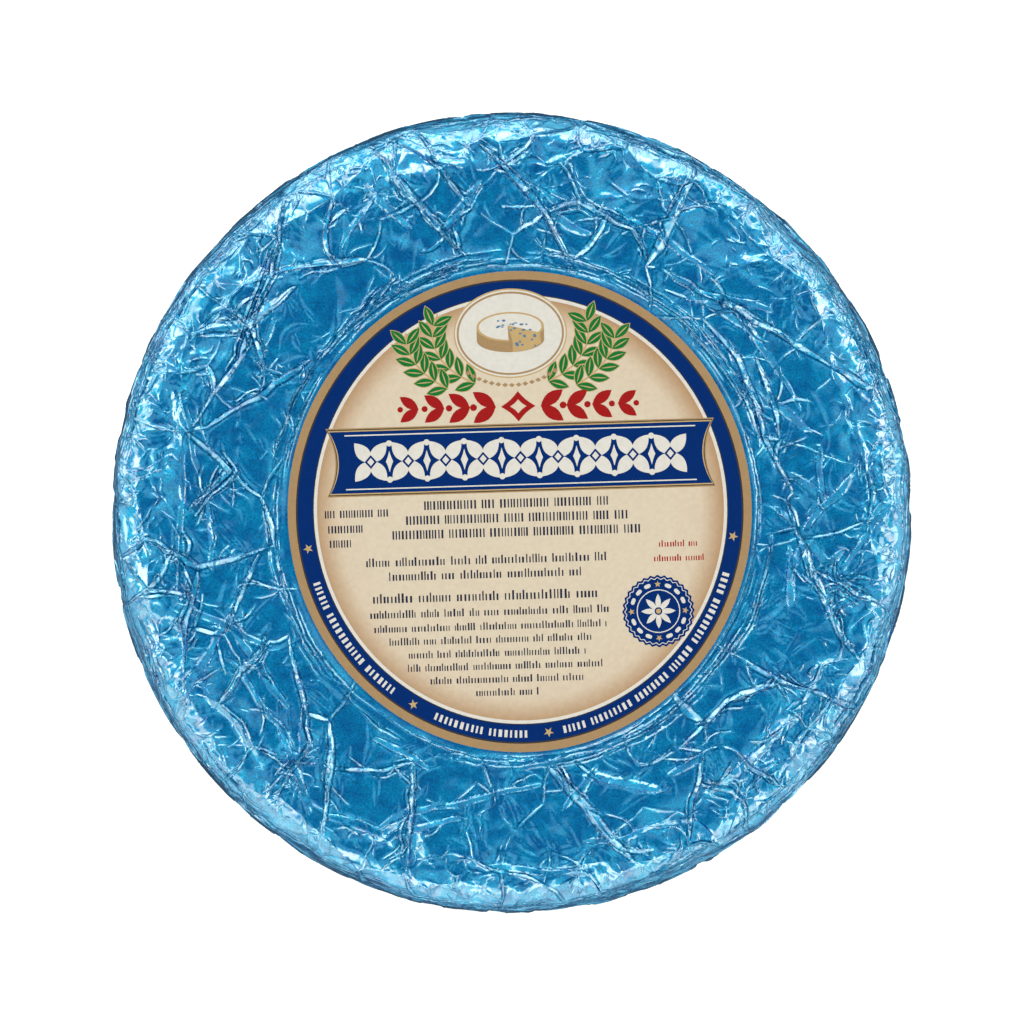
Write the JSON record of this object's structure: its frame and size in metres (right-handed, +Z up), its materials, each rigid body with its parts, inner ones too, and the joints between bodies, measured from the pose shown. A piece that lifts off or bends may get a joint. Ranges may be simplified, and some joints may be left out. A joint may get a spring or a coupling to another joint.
{
  "type": "foil-wrapped blue cheese wheel",
  "caption": "Whole round wheel of blue cheese wrapped in crinkled blue metallic foil, with a flat top, rounded shoulders, gathered underside and a thin round paper label.",
  "frame": {"origin": "middle of the flat base that the wheel stands on", "axes": "+Z up through the wheel to the label, +Y towards the top of the label's print"},
  "size_m": [0.1961, 0.1962, 0.0909],
  "materials": {
    "blue_foil": "crinkled lacquered foil, glossy",
    "label_paper": "coated paper, semi-gloss print"
  },
  "bodies": {
    "root": {"foil_wrapped_wheel": "blue_foil", "paper_label": "label_paper"}
  },
  "joints": []
}
